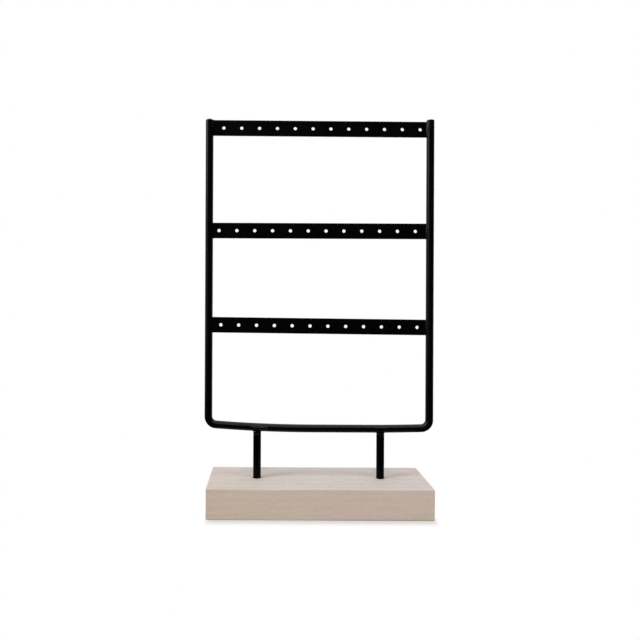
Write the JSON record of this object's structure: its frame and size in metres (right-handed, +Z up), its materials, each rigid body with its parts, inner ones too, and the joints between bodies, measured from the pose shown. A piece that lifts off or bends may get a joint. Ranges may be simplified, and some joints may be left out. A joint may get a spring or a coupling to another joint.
{
  "type": "earring display stand",
  "caption": "Upright stand for earrings: a bent rod frame with flat bars of small punched holes, on two short posts in a rectangular wooden block.",
  "frame": {"origin": "on the wooden block's underside, midway between the two posts", "axes": "+Z up, the bars run along X, the front faces -Y"},
  "size_m": [0.176, 0.055, 0.2986],
  "materials": {
    "black_powder_coat": "satin black powder coat over mild steel",
    "pale_wood": "sanded pale hardwood, clear matt seal",
    "zinc_steel": "bright zinc plate"
  },
  "bodies": {
    "root": {"base_block": "pale_wood", "frame_rod": "black_powder_coat", "bar_top": "black_powder_coat", "bar_middle": "black_powder_coat", "bar_bottom": "black_powder_coat", "post_left": "black_powder_coat", "post_right": "black_powder_coat", "weld_top_left": "black_powder_coat", "weld_top_right": "black_powder_coat", "weld_middle_left": "black_powder_coat", "weld_middle_right": "black_powder_coat", "weld_bottom_left": "black_powder_coat", "weld_bottom_right": "black_powder_coat", "weld_post_left": "black_powder_coat", "weld_post_right": "black_powder_coat", "screw_left": "zinc_steel", "screw_right": "zinc_steel"}
  },
  "joints": []
}
